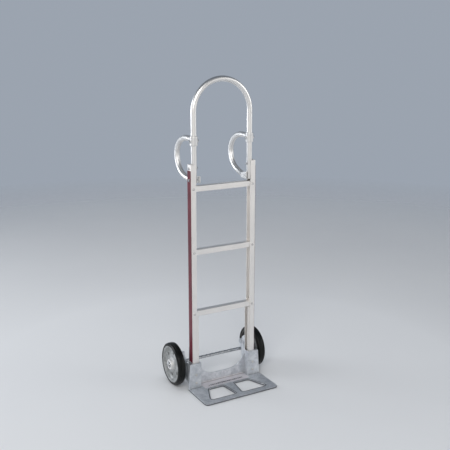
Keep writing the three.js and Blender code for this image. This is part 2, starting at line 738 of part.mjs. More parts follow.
/** A ball bearing in one end of the boss; end is -1 or 1. */
function bearing(end) {
  const face = end * (HUB_HALF_LENGTH - BEARING_RECESS);
  const back = face - end * BEARING_WIDTH;
  return ringX(Math.min(face, back), Math.max(face, back), AXLE_RADIUS + GAP, BEARING_RADIUS);
}

function bearingSleeve() {
  const half = HUB_HALF_LENGTH - BEARING_RECESS - BEARING_WIDTH - GAP;
  return ringX(-half, half, AXLE_RADIUS + GAP, SLEEVE_RADIUS);
}

// ---------------------------------------------------------------- assembly

function piece(parent, name, geometry, material) {
  const mesh = new THREE.Mesh(geometry, material);
  mesh.name = name;
  parent.add(mesh);
  return mesh;
}

function addPair(parent, stem, geometry, material) {
  piece(parent, `${stem}_right`, geometry, material);
  piece(parent, `${stem}_left`, mirrored(geometry), material);
}

function addWheel(parent, side) {
  const wheel = new THREE.Group();
  const right = side === 'right';
  wheel.position.set(right ? WHEEL_X : -WHEEL_X, AXLE_Y, AXLE_Z);
  wheel.rotation.z = right ? 0 : Math.PI;
  piece(wheel, `tyre_${side}`, tyre(), blackRubber());
  piece(wheel, `hub_${side}`, hub(), castHubAluminium());
  piece(wheel, `bearing_outer_${side}`, bearing(1), bearingSteel());
  piece(wheel, `bearing_inner_${side}`, bearing(-1), bearingSteel());
  piece(wheel, `bearing_sleeve_${side}`, bearingSleeve(), zincSteel());
  parent.add(wheel);
}

function addFrame(parent) {
  addPair(parent, 'rail', rail(), satinAluminium());
  addPair(parent, 'side_strip', sideStrip(), redVinyl());
  addPair(parent, 'lower_channel', lowerChannel(), satinAluminium());
  for (const [place, bottom] of Object.entries(BRACE_BOTTOMS)) {
    piece(parent, `cross_brace_${place}`, crossBrace(bottom), satinAluminium());
    const rivet = braceRivet().translate(RAIL_MID_X, 0, bottom + BRACE_HEIGHT / 2);
    addPair(parent, `brace_rivet_${place}`, facingOut(rivet), zincSteel());
  }
}

function addHandles(parent) {
  piece(parent, 'loop_handle', loopHandle(), polishedAluminium());
  addPair(parent, 'handle_spacer', handleSpacer(), castAluminium());
  addPair(parent, 'grip', grip(), polishedAluminium());
  addPair(parent, 'grip_collar_bolt', gripCollarBolt(), zincSteel());
  for (const which of Object.keys(HANDLE_BOLT_HEIGHTS)) {
    addPair(parent, `handle_bolt_${which}`, handleBolt(which), zincSteel());
  }
}

function addNose(parent) {
  piece(parent, 'nose_plate', nosePlate(), castAluminium());
  for (const [which, z] of Object.entries(NOSE_BOLT_HEIGHTS)) {
    addPair(parent, `nose_bolt_${which}`, noseBolt(z), zincSteel());
  }
}

function addRunningGear(parent) {
  piece(parent, 'axle', axle().translate(0, AXLE_Y, AXLE_Z), zincSteel());
  addPair(parent, 'axle_bracket', axleBracket(), castAluminium());
  for (const [which, z] of Object.entries(BRACKET_BOLT_HEIGHTS)) {
    addPair(parent, `bracket_bolt_${which}`, bracketBolt(z), zincSteel());
  }
  addPair(parent, 'inner_spacer', innerSpacer().translate(0, AXLE_Y, AXLE_Z), zincSteel());
  addPair(parent, 'outer_washer', outerWasher().translate(0, AXLE_Y, AXLE_Z), zincSteel());
  addPair(parent, 'axle_clip', axleClip().translate(0, AXLE_Y, AXLE_Z), bearingSteel());
  addWheel(parent, 'left');
  addWheel(parent, 'right');
}

const handTruck = new THREE.Group();
addFrame(handTruck);
addHandles(handTruck);
addNose(handTruck);
addRunningGear(handTruck);
handTruck.position.y = -MIDDLE_Y;

export default handTruck;
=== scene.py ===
import math

import bmesh
import bpy
from mathutils import Matrix, Vector


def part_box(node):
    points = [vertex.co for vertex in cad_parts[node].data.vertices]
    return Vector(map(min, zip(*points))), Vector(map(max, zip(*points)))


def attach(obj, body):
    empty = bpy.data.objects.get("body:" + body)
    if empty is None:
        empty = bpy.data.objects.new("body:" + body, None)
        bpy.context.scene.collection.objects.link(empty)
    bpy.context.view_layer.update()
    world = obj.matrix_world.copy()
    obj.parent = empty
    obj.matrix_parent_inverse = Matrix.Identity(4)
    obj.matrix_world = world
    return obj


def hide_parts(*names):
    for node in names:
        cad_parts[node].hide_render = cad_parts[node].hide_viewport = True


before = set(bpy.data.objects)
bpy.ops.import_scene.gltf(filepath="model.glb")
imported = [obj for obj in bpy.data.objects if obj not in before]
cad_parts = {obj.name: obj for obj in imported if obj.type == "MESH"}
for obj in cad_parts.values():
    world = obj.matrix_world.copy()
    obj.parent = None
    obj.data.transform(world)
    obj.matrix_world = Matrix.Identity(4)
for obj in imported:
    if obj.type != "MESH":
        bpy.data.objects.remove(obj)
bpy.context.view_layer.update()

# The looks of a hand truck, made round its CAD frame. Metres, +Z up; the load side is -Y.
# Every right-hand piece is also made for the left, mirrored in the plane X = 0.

MM = 0.001
FULL_TURN = 2 * math.pi
MIRROR_X = Matrix.Scale(-1, 4, (1, 0, 0))


def low(node):
    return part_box(node)[0]


def high(node):
    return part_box(node)[1]


def middle(node):
    return (low(node) + high(node)) / 2


# -------------------- places read from the frame

FACE_Y = low("rail_right").y
REAR_Y = high("rail_right").y
RAIL_INNER_X = low("rail_right").x
RAIL_OUTER_X = high("rail_right").x
RAIL_MID_X = (RAIL_INNER_X + RAIL_OUTER_X) / 2
RAIL_MID_Y = (FACE_Y + REAR_Y) / 2
AXLE = middle("axle")
WHEEL_X = middle("tyre_right").x
BRACES = [f"cross_brace_{place}" for place in ("top", "middle", "bottom")]
BRACE_RIVET_Z = [middle(brace).z for brace in BRACES]
HANDLE_BOLT_Z = [middle(f"handle_bolt_{place}_right").z for place in ("upper", "lower")]
NOSE_BOLT_Z = [middle(f"nose_bolt_{place}_right").z for place in ("upper", "lower")]
BRACKET_BOLT_Z = [middle(f"bracket_bolt_{place}_right").z for place in ("upper", "lower")]
COLLAR_BOLT_Z = middle("grip_collar_bolt_right").z
HOLE_RADIUS = 4.6 * MM
SHANK_RADIUS = 4 * MM
AXLE_BORE = 9.3 * MM
FLATS_RADIUS = 7.5 * MM  # of a nut or a bolt head, to its corners
CLEAR = 0.3 * MM  # between pieces that touch
SHARP_ANGLE = math.radians(32)
WHEELS = ("wheel_right", "wheel_left")

PLATE_TOP = 10 * MM
SOCKET_FACE_Y = low("nose_bolt_upper_right").y + 3.8 * MM
SOCKET_BACK_Y = FACE_Y - CLEAR
SOCKET_INNER_X = RAIL_INNER_X - 17.5 * MM
SOCKET_OUTER_X = RAIL_OUTER_X + 7 * MM
WEB_Y = (FACE_Y + 27 * MM, FACE_Y + 36 * MM)
BAND_FRONT_Y = FACE_Y - 44 * MM  # the plate's rear band, between the windows and the web
MARK_Z = (PLATE_TOP - 3.2 * MM, PLATE_TOP + MM)  # what a groove or a stroke cuts away


# -------------------- meshes

SPACE = {
    "x": lambda u, v, w: (w, u, v),
    "y": lambda u, v, w: (u, w, v),
    "z": lambda u, v, w: (u, v, w),
}


def mesh_from(bm):
    bmesh.ops.recalc_face_normals(bm, faces=bm.faces)
    mesh = bpy.data.meshes.new("shape")
    bm.to_mesh(mesh)
    bm.free()
    return mesh


def skin(bm, ring, other):
    """Faces between two closed rings of vertices; a ring may be one vertex repeated."""
    for k in range(len(ring)):
        corners = [ring[k - 1], ring[k], other[k], other[k - 1]]
        unique = list(dict.fromkeys(corners))
        if len(unique) > 2:
            bm.faces.new(unique)


def loft(rings, closed=False):
    """A solid through rings of points: capped at both ends, or joined end to end when closed."""
    bm = bmesh.new()
    rows = []
    for ring in rings:
        if all((Vector(p) - Vector(ring[0])).length < 1e-9 for p in ring):
            rows.append([bm.verts.new(ring[0])] * len(ring))
        else:
            rows.append([bm.verts.new(p) for p in ring])
    for row, following in zip(rows, rows[1:]):
        skin(bm, row, following)
    if closed:
        skin(bm, rows[-1], rows[0])
    else:
        for row in (rows[0], rows[-1]):
            if row[0] is not row[1]:
                bm.faces.new(row)
    return mesh_from(bm)


def rounded(corners, steps=4, closed=True):
    """An outline whose corners, each (u, v, radius), are rounded off."""
    points = []
    count = len(corners)
    for k, (u, v, radius) in enumerate(corners):
        at_end = not closed and k in (0, count - 1)
        if radius <= 0 or at_end:
            points.append((u, v))
            continue
        corner = Vector((u, v))
        before = Vector(corners[k - 1][:2]) - corner
        after = Vector(corners[(k + 1) % count][:2]) - corner
        entry = corner + before.normalized() * radius
        leave = corner + after.normalized() * radius
        for step in range(steps + 1):
            t = step / steps
            p = entry * (1 - t) ** 2 + corner * 2 * t * (1 - t) + leave * t ** 2
            points.append((p.x, p.y))
    return points


def scaled(corners):
    """Points given in millimetres, in metres."""
    return [tuple(value * MM for value in corner) for corner in corners]


def wound(outline, anticlockwise):
    """The outline in the direction asked for."""
    area = sum(outline[k - 1][0] * p[1] - p[0] * outline[k - 1][1] for k, p in enumerate(outline))
    return outline if (area > 0) == anticlockwise else outline[::-1]


def inset(outline, distance):
    """The outline moved into the material, which lies on its left."""
    moved = []
    count = len(outline)
    for k in range(count):
        here = Vector(outline[k])
        arriving = (here - Vector(outline[k - 1])).normalized()
        leaving = (Vector(outline[(k + 1) % count]) - here).normalized()
        normals = [Vector((-d.y, d.x)) for d in (arriving, leaving)]
        mitre = (normals[0] + normals[1]) / max(1 + normals[0].dot(normals[1]), 0.35)
        moved.append(tuple(here + mitre * distance))
    return moved


def prism(outlines, start, end, along="z", edge=0.0, steps=3):
    """An outline, and holes after it, drawn out along an axis, with its end edges rounded."""
    turns = [math.pi / 2 * k / steps for k in range(steps + 1)] if edge else [math.pi / 2]
    levels = [(edge * (1 - math.sin(a)), start + edge * (1 - math.cos(a))) for a in turns]
    levels += [(depth, start + end - w) for depth, w in reversed(levels)]
    bm = bmesh.new()
    caps = ([], [])
    for k, outline in enumerate(outlines):
        loop = wound(outline, k == 0)
        rings = [
            [bm.verts.new(SPACE[along](u, v, w)) for u, v in inset(loop, depth)]
            for depth, w in levels
        ]
        for ring, following in zip(rings, rings[1:]):
            skin(bm, ring, following)
        caps[0].append(rings[0])
        caps[1].append(rings[-1])
    for loops in caps:
        edges = [bm.edges.get((ring[k - 1], ring[k])) for ring in loops for k in range(len(ring))]
        bmesh.ops.triangle_fill(bm, use_beauty=True, edges=edges)
    return mesh_from(bm)


def block(corner, opposite, edge=0.0):
    (x0, y0, z0), (x1, y1, z1) = corner, opposite
    outline = rounded([(x0, y0, edge), (x1, y0, edge), (x1, y1, edge), (x0, y1, edge)], 3)
    return prism([outline], z0, z1, "z", edge)


def turned(profile, sides=48, centre=(0, 0, 0), along="x"):
    """A profile of (distance along the axis, radius) points turned about the axis."""
    rings = []
    for w, radius in profile:
        angles = [FULL_TURN * k / sides for k in range(sides)]
        rings.append([
            Vector(SPACE[along](radius * math.cos(a), radius * math.sin(a), w)) + Vector(centre)
            for a in angles
        ])
    on_axis = profile[0][1] < 1e-9 and profile[-1][1] < 1e-9
    return loft(rings, closed=not on_axis)


def rod(start, end, radius, centre=(0, 0, 0), along="x", edge=0.0, sides=32):
    """A round bar between two distances along an axis through the centre."""
    profile = rounded([
        (start, 0, 0), (start, radius, edge), (end, radius, edge), (end, 0, 0),
    ], 3, closed=False)
    return turned(profile, sides, centre, along)


def framed(path, normal):
    """Two cross directions at each point of a path, turning as little as they can."""
    tangents = []
    for k in range(len(path)):
        ahead = path[min(k + 1, len(path) - 1)]
        behind = path[max(k - 1, 0)]
        tangents.append((ahead - behind).normalized())
    side = Vector(normal)
    frames = []
    for tangent in tangents:
        side = (side - tangent * side.dot(tangent)).normalized()
        frames.append((side, tangent.cross(side)))
    return frames


def section_rings(path, section, normal):
    """Rings along a path; section(k) gives the (u, v) points of ring k."""
    frames = framed(path, normal)
    return [
        [point + across * u + up * v for u, v in section(k)]
        for k, (point, (across, up)) in enumerate(zip(path, frames))
    ]


def circle(radius, sides):
    angles = [FULL_TURN * k / sides for k in range(sides)]
    return [(radius * math.cos(a), radius * math.sin(a)) for a in angles]


def moved(mesh, matrix):
    """The mesh itself, moved; a mirrored one keeps its faces outwards."""
    mesh.transform(matrix)
    if matrix.determinant() < 0:
        mesh.flip_normals()
    return mesh


def evaluated(thing):
    """The object's mesh with its modifiers applied; the object is removed."""
    graph = bpy.context.evaluated_depsgraph_get()
    mesh = bpy.data.meshes.new_from_object(thing.evaluated_get(graph), depsgraph=graph)
    bpy.data.objects.remove(thing)
    return mesh


def placed(name, data):
    """A new object in the scene."""
    thing = bpy.data.objects.new(name, data)
    bpy.context.scene.collection.objects.link(thing)
    return thing


def combined(operation, mesh, others):
    """The mesh with each of the others joined to it, cut from it or kept in common with it."""
    thing = placed("helper", mesh)
    tools = [placed("helper", other) for other in others]
    for tool in tools:
        step = thing.modifiers.new("combine", "BOOLEAN")
        step.operation = operation
        step.solver = "MANIFOLD"
        step.object = tool
    result = evaluated(thing)
    for tool in tools:
        bpy.data.objects.remove(tool)
    return result


def cut(mesh, *tools):
    return combined("DIFFERENCE", mesh, tools)


def joined(mesh, *others):
    return combined("UNION", mesh, others)


def cast(mesh, grain, rounds=3):
    """The solid with its corners and its joins filleted, as a casting has them."""
    thing = placed("helper", mesh)
    remesh = thing.modifiers.new("cast", "REMESH")
    remesh.mode = "VOXEL"
    remesh.voxel_size = grain
    relax = thing.modifiers.new("relax", "SMOOTH")
    relax.factor = 0.5
    relax.iterations = rounds
    return evaluated(thing)


def shaded(mesh):
    """The mesh drawn smooth, but for its sharp edges."""
    bm = bmesh.new()
    bm.from_mesh(mesh)
    for face in bm.faces:
        face.smooth = True
    for edge in bm.edges:
        edge.smooth = edge.calc_face_angle(0) < SHARP_ANGLE
    bm.to_mesh(mesh)
    bm.free()
    return mesh


def piece(node, mesh, look, body="frame"):
    """Shows the mesh in place of a CAD node, moving with its body."""
    thing = placed(f"{node}_finished", shaded(mesh))
    mesh.materials.clear()
    mesh.materials.append(look)
    weigh = thing.modifiers.new("even_normals", "WEIGHTED_NORMAL")
    weigh.keep_sharp = True
    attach(thing, body)
    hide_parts(node)


def pair(stem, mesh, look, bodies=("frame", "frame")):
    """The same piece on the right and, mirrored, on the left."""
    left = moved(mesh.copy(), MIRROR_X)
    piece(f"{stem}_right", mesh, look, bodies[0])
    piece(f"{stem}_left", left, look, bodies[1])


# -------------------- materials

class Graph:
    """The nodes of a material or of the world, added by short calls."""

    def __init__(self, tree, coordinates):
        self.nodes = tree.nodes
        self.links = tree.links
        self.place = self.added("TexCoord").outputs[coordinates]

    def added(self, kind, **settings):
        """A new node of a kind, with some of its inputs set."""
        node = self.nodes.new(f"ShaderNode{kind}")
        for name, value in settings.items():
            node.inputs[name].default_value = value
        return node

    def axis(self, name):
        split = self.added("SeparateXYZ")
        self.links.new(self.place, split.inputs["Vector"])
        return split.outputs[name]

    def span(self, value, low_in, high_in, low_out=0.0, high_out=1.0, easing="LINEAR"):
        """The value, from one range to another, with no overshoot."""
        spread = self.added("MapRange")
        spread.interpolation_type = easing
        for name, number in zip(("From Min", "From Max", "To Min", "To Max"),
                                (low_in, high_in, low_out, high_out)):
            spread.inputs[name].default_value = number
        self.links.new(value, spread.inputs["Value"])
        return spread.outputs["Result"]

    def mixed(self, fac, first, second):
        """From the first colour, where fac is 0, to the second, where it is 1."""
        mix = self.added("Mix")
        mix.data_type = "RGBA"
        self.links.new(fac, mix.inputs["Factor"])
        for name, value in zip(("A", "B"), (first, second)):
            socket = next(s for s in mix.inputs if s.name == name and s.type == "RGBA")
            if isinstance(value, tuple):
                socket.default_value = (*value, 1)
            else:
                self.links.new(value, socket)
        return next(s for s in mix.outputs if s.type == "RGBA")


class Look(Graph):
    """A Principled material that patterns are added to, in the object's own coordinates."""

    def __init__(self, name, colour, metallic, roughness):
        self.material = bpy.data.materials.new(name)
        self.material.use_nodes = True
        self.material.diffuse_color = (*colour, 1)
        super().__init__(self.material.node_tree, "Object")
        self.shader = self.nodes["Principled BSDF"]
        self.shader.inputs["Base Color"].default_value = (*colour, 1)
        self.shader.inputs["Metallic"].default_value = metallic
        self.shader.inputs["Roughness"].default_value = roughness

    def noise(self, scale, detail, stretch=(1, 1, 1), roughness=0.5):
        mapping = self.added("Mapping", Scale=stretch)
        self.links.new(self.place, mapping.inputs["Vector"])
        noise = self.added("TexNoise", Scale=scale, Detail=detail, Roughness=roughness)
        self.links.new(mapping.outputs["Vector"], noise.inputs["Vector"])
        return noise.outputs["Fac"]

    def pits(self, scale):
        cells = self.added("TexVoronoi", Scale=scale)
        self.links.new(self.place, cells.inputs["Vector"])
        return cells.outputs["Distance"]

    def maths(self, operation, first, second=0.0):
        node = self.added("Math")
        node.operation = operation
        for k, value in enumerate((first, second)):
            if isinstance(value, (int, float)):
                node.inputs[k].default_value = value
            else:
                self.links.new(value, node.inputs[k])
        return node.outputs["Value"]

    def blended(self, first, second, share=0.5):
        """Two patterns added up; share is the first one's part of the whole."""
        return self.maths("ADD", self.maths("MULTIPLY", first, share),
                          self.maths("MULTIPLY", second, 1 - share))

    def corners(self, reach):
        """1 on open faces, falling to 0 deep in the piece's own corners and hollows."""
        corner_shade = self.added("AmbientOcclusion", Distance=reach)
        corner_shade.only_local = True
        corner_shade.samples = 6
        return corner_shade.outputs["AO"]

    def edges(self, start, end):
        """0 on faces and 1 on sharp outer edges."""
        return self.span(self.added("NewGeometry").outputs["Pointiness"], start, end)

    def colour(self, socket):
        self.links.new(socket, self.shader.inputs["Base Color"])

    def roughness(self, pattern, smoothest, roughest):
        rough = self.span(pattern, 0.3, 0.7, smoothest, roughest)
        self.links.new(rough, self.shader.inputs["Roughness"])

    def relief(self, *layers):
        """Each layer is (height, strength, depth in metres)."""
        normal = None
        for height, strength, depth in layers:
            bump = self.added("Bump", Strength=strength, Distance=depth)
            self.links.new(height, bump.inputs["Height"])
            if normal is not None:
                self.links.new(normal, bump.inputs["Normal"])
            normal = bump.outputs["Normal"]
        self.links.new(normal, self.shader.inputs["Normal"])


def toned(colour, factor):
    """The colour made darker or lighter, and never quite white."""
    return tuple(min(channel * factor, 0.96) for channel in colour)


def satin_aluminium(name, stretch):
    """Extruded aluminium with faint drawing lines; stretch is small along the lines."""
    look = Look(name, (0.80, 0.78, 0.75), 1.0, 0.42)
    lines = look.noise(900, 3, stretch)
    clouds = look.noise(9, 4)
    scuffs = look.noise(60, 6, (1, 1, 0.4), 0.7)
    base = look.mixed(look.span(clouds, 0.35, 0.7), (0.92, 0.895, 0.87), (0.87, 0.85, 0.83))
    base = look.mixed(look.span(lines, 0.45, 0.8, 0, 0.35), base, (0.72, 0.71, 0.69))
    base = look.mixed(look.span(scuffs, 0.6, 0.8, 0, 0.4), base, (0.70, 0.69, 0.67))
    # painted shade: the piece's own corners and hollows are darkened towards near black
    corner_shade = look.span(look.corners(2.5 * MM), 0.3, 0.8)
    base = look.mixed(corner_shade, (0.10, 0.10, 0.10), base)
    look.colour(base)
    look.roughness(look.blended(lines, scuffs), 0.40, 0.56)
    look.relief((lines, 0.25, 0.1 * MM), (scuffs, 0.15, 0.2 * MM))
    return look.material


def polished_aluminium():
    look = Look("polished_aluminium", (0.76, 0.75, 0.74), 1.0, 0.42)
    smears = look.noise(14, 5)
    scratches = look.noise(400, 3, (1, 1, 0.08))
    base = look.mixed(look.span(smears, 0.4, 0.7), (0.80, 0.795, 0.785), (0.71, 0.705, 0.70))
    base = look.mixed(look.span(scratches, 0.6, 0.85, 0, 0.35), base, (0.66, 0.66, 0.65))
    look.colour(base)
    look.roughness(look.blended(smears, scratches, 0.6), 0.36, 0.48)
    look.relief((scratches, 0.08, 0.06 * MM))
    return look.material


def satin_tube():
    """Aluminium tube brushed by handling to an even, broad sheen."""
    look = Look("satin_tube", (0.83, 0.82, 0.81), 1.0, 0.36)
    smears = look.noise(12, 5)
    rubs = look.noise(300, 4, (1, 1, 0.06))
    base = look.mixed(look.span(smears, 0.4, 0.7), (0.86, 0.85, 0.835), (0.80, 0.79, 0.78))
    base = look.mixed(look.span(rubs, 0.55, 0.8, 0, 0.3), base, (0.74, 0.74, 0.73))
    look.colour(base)
    look.roughness(look.blended(smears, rubs), 0.30, 0.42)
    look.relief((rubs, 0.03, 0.06 * MM))
    return look.material


def cast_skin(name, light, dark, grain, corner_reach, finish):
    """Rough cast aluminium: mottled, grainy, with painted shade in its corners, rubbed on its
    edges.

    finish(look, base) adds what is particular to the piece.
    """
    look = Look(name, light, 1.0, 0.55)
    blotches = look.noise(26, 7, roughness=0.68)
    speckle = look.noise(grain, 3)
    pits = look.pits(grain * 0.7)
    base = look.mixed(look.span(blotches, 0.36, 0.64), light, dark)
    base = look.mixed(look.span(speckle, 0.50, 0.72, 0, 0.6), base, toned(dark, 0.5))
    base = look.mixed(look.edges(0.53, 0.62), base, toned(light, 1.12))
    base = finish(look, base)
    # painted shade: a broad darkening of the piece's deep hollows and inner corners
    hollow = look.span(look.corners(30 * MM), 0.35, 0.85, 0.72, 1)
    base = look.mixed(hollow, (0, 0, 0), base)
    # painted shade: thin dark lines in the piece's tight corners and joins
    corner_shade = look.span(look.corners(corner_reach), 0.45, 0.9)
    base = look.mixed(corner_shade, toned(dark, 0.12), base)
    look.colour(base)
    look.roughness(look.blended(blotches, speckle), 0.56, 0.8)
    look.relief((blotches, 0.35, 1.4 * MM), (pits, 0.4, 0.6 * MM), (speckle, 0.5, 0.4 * MM))
    return look.material


def plate_finish(look, base):
    """A smooth pad between the windows and the web, and painted shade on what lies below the
    plate's top.
    """
    pad_half = 143 * MM
    pad_tint = (0.96, 0.91, 0.93)
    low_shade_tint = (0.17, 0.18, 0.20)
    across = look.span(look.maths("ABSOLUTE", look.axis("X")),
                       pad_half - 3 * MM, pad_half + 3 * MM, 1, 0)
    along = look.span(look.axis("Y"), BAND_FRONT_Y - 2 * MM, BAND_FRONT_Y + 2 * MM)
    flat = look.span(look.axis("Z"), PLATE_TOP + 3 * MM, PLATE_TOP + 6 * MM, 0.75, 0)
    pad = look.maths("MULTIPLY", look.maths("MULTIPLY", across, along), flat)
    base = look.mixed(pad, base, pad_tint)
    # painted shade: all below the plate's top, with a ragged upper line, is darkened: its edges,
    # underside and groove and stroke floors
    shade_line_noise = look.maths("MULTIPLY", look.noise(90, 4, (1, 1, 3)), 4 * MM)
    height = look.maths("ADD", look.axis("Z"), shade_line_noise)
    above_shade = look.span(height, PLATE_TOP - 1.5 * MM, PLATE_TOP + 1.5 * MM)
    return look.mixed(above_shade, low_shade_tint, base)


def wheel_finish(look, base):
    """A machined boss on the wheel's cast web, and painted shade on the face towards the truck."""
    boss_tint = (0.94, 0.93, 0.92)
    inner_face_shade_tint = (0.13, 0.125, 0.12)
    off_y = look.maths("SUBTRACT", look.axis("Y"), AXLE.y)
    off_z = look.maths("SUBTRACT", look.axis("Z"), AXLE.z)
    square = look.maths("ADD", look.maths("MULTIPLY", off_y, off_y),
                        look.maths("MULTIPLY", off_z, off_z))
    boss = look.span(look.maths("SQRT", square), 28 * MM, 40 * MM, 0.85, 0)
    base = look.mixed(boss, base, boss_tint)
    # painted shade: the wheel's face towards the truck is darkened
    outwards = look.maths("SUBTRACT", look.maths("ABSOLUTE", look.axis("X")), WHEEL_X)
    return look.mixed(look.span(outwards, -6 * MM, -2 * MM), inner_face_shade_tint, base)


def red_vinyl():
    look = Look("red_vinyl", (0.14, 0.02, 0.035), 0.0, 0.45)
    look.shader.inputs["Specular IOR Level"].default_value = 0.35
    clouds = look.noise(12, 5)
    scuffs = look.noise(160, 6, (1, 1, 0.15), 0.75)
    base = look.mixed(look.span(clouds, 0.35, 0.7), (0.150, 0.020, 0.034), (0.105, 0.015, 0.026))
    base = look.mixed(look.span(scuffs, 0.62, 0.8, 0, 0.5), base, (0.24, 0.08, 0.09))
    look.colour(base)
    look.roughness(scuffs, 0.3, 0.55)
    look.relief((scuffs, 0.2, 0.15 * MM))
    return look.material


def black_rubber():
    look = Look("black_rubber", (0.005, 0.005, 0.005), 0.0, 0.35)
    look.shader.inputs["Specular IOR Level"].default_value = 0.22
    bloom = look.noise(16, 5)
    scuffs = look.noise(220, 5, roughness=0.7)
    base = look.mixed(look.span(bloom, 0.4, 0.75), (0.003, 0.0035, 0.0035), (0.007, 0.0075, 0.007))
    base = look.mixed(look.span(scuffs, 0.62, 0.8, 0, 0.4), base, (0.018, 0.018, 0.017))
    look.colour(base)
    look.roughness(look.blended(bloom, scuffs, 0.6), 0.22, 0.42)
    look.relief((scuffs, 0.2, 0.2 * MM), (bloom, 0.15, 0.8 * MM))
    return look.material


def zinc_steel():
    look = Look("zinc_steel", (0.62, 0.63, 0.64), 1.0, 0.32)
    spangle = look.noise(120, 3)
    tarnish = look.noise(40, 5)
    base = look.mixed(look.span(spangle, 0.4, 0.65), (0.66, 0.67, 0.68), (0.52, 0.54, 0.56))
    base = look.mixed(look.span(tarnish, 0.55, 0.75, 0, 0.6), base, (0.50, 0.47, 0.40))
    look.colour(base)
    look.roughness(tarnish, 0.16, 0.34)
    look.relief((spangle, 0.15, 0.1 * MM))
    return look.material


def dull_steel():
    """Steel fasteners gone as dull and rough as the metal round them."""
    look = Look("dull_steel", (0.64, 0.65, 0.67), 1.0, 0.55)
    stains = look.noise(70, 6, roughness=0.65)
    grains = look.noise(420, 3)
    base = look.mixed(look.span(stains, 0.38, 0.66), (0.76, 0.75, 0.74), (0.60, 0.59, 0.585))
    base = look.mixed(look.span(grains, 0.5, 0.75, 0, 0.5), base, (0.42, 0.415, 0.41))
    look.colour(base)
    look.roughness(stains, 0.5, 0.68)
    look.relief((grains, 0.3, 0.15 * MM))
    return look.material


def bearing_steel():
    look = Look("bearing_steel", (0.7, 0.71, 0.72), 1.0, 0.22)
    grinding = look.noise(700, 2)
    grease = look.noise(90, 5)
    base = look.mixed(look.span(grinding, 0.4, 0.7), (0.74, 0.75, 0.76), (0.62, 0.63, 0.64))
    base = look.mixed(look.span(grease, 0.55, 0.8, 0, 0.7), base, (0.30, 0.27, 0.22))
    look.colour(base)
    look.roughness(grease, 0.18, 0.36)
    look.relief((grinding, 0.1, 0.05 * MM))
    return look.material


RAIL_LOOK = satin_aluminium("satin_aluminium_upright", (1, 1, 0.012))
BRACE_LOOK = satin_aluminium("satin_aluminium_across", (0.012, 1, 1))
TUBE_LOOK = satin_tube()
POLISHED_LOOK = polished_aluminium()
CASTING_LOOK = cast_skin("sand_cast_aluminium", (0.82, 0.84, 0.87), (0.58, 0.61, 0.65),
                         330, 4 * MM, plate_finish)
HUB_LOOK = cast_skin("die_cast_aluminium", (0.60, 0.61, 0.61), (0.32, 0.33, 0.33),
                     260, 10 * MM, wheel_finish)
VINYL_LOOK = red_vinyl()
RUBBER_LOOK = black_rubber()
ZINC_LOOK = zinc_steel()
DULL_LOOK = dull_steel()
BEARING_LOOK = bearing_steel()


# -------------------- fasteners

def hexagon(start, end, centre, along):
    """A hexagon head or nut whose corners are turned off at both ends."""
    face = FLATS_RADIUS - 1.5 * MM
    barrel = [(start, 0), (start, face), (start + MM, FLATS_RADIUS),
              (end - MM, FLATS_RADIUS), (end, face), (end, 0)]
    body = turned(barrel, 36, (0, 0, 0), along)
    flats = prism([circle(FLATS_RADIUS, 6)], start - MM, end + MM, along)
    both = combined("INTERSECT", body, [flats])
    return moved(both, Matrix.Translation(centre))


def thread(start, end, centre, along):
    """A threaded end, as close rings."""
    root = SHANK_RADIUS - 0.5 * MM
    pitch = 1.25 * MM
    turns = max(int((end - start) / pitch), 1)
    profile = [(start, 0)]
    for k in range(turns):
        foot = start + (end - start) * k / turns
        profile += [(foot, root), (foot + (end - start) / turns / 2, SHANK_RADIUS)]
    profile += [(end, root), (end, 0)]
    return turned(profile, 20, centre, along)


def bolt_and_nut(node, along):
    """A hexagon bolt filling its CAD node's box, with its head at the far end of the axis."""
    index = "xyz".index(along)
    tip, head = low(node)[index], high(node)[index]
    centre = middle(node).copy()
    centre[index] = 0
    under_head = head - 5 * MM
    nut = (tip + 1 * MM, tip + 6 * MM)
    return joined(
        hexagon(under_head, head, centre, along),
        rod(nut[1], under_head + MM, SHANK_RADIUS, centre, along, sides=20),
        thread(tip, nut[1] + MM, centre, along),
        hexagon(*nut, centre, along),
    )


def domed_bolt(node):
    """A button-headed bolt along Y with a hexagon socket, and its nut."""
    start, end = low(node).y, high(node).y
    centre = (middle(node).x, 0, middle(node).z)
    head = 3.5 * MM
    dome = rounded([
        (start, 0, 0), (start, 4.6 * MM, 0), (start + 0.9 * MM, 6.6 * MM, 1.2 * MM),
        (start + head, FLATS_RADIUS, 0.4 * MM), (start + head, 0, 0),
    ], 4, closed=False)
    socket = prism([circle(2.9 * MM, 6)], start - MM, start + 2.2 * MM, "y")
    body = cut(turned(dome, 40, (0, 0, 0), "y"), socket)
    body = moved(body, Matrix.Translation(centre))
    return joined(
        body,
        rod(start + head - 0.5 * MM, end - 6 * MM, SHANK_RADIUS, centre, "y", sides=20),
        thread(end - 6.5 * MM, end, centre, "y"),
        hexagon(end - 6 * MM, end - 1 * MM, centre, "y"),
    )


def rivet(node):
    """A round-headed rivet along Y, with its formed tail."""
    start, end = low(node).y, high(node).y
    centre = (middle(node).x, 0, middle(node).z)
    head = 4.0 * MM
    tail = 3.0 * MM
    profile = [(start + head * (1 - math.cos(a)), FLATS_RADIUS * math.sin(a))
               for a in (math.pi / 2 * k / 8 for k in range(9))]
    profile += [(start + head, SHANK_RADIUS), (end - tail, SHANK_RADIUS), (end - tail, 6.2 * MM)]
    profile += [(end - 0.8 * MM, 5.6 * MM), (end, 4.2 * MM), (end, 0)]
    return turned(profile, 32, centre, "y")


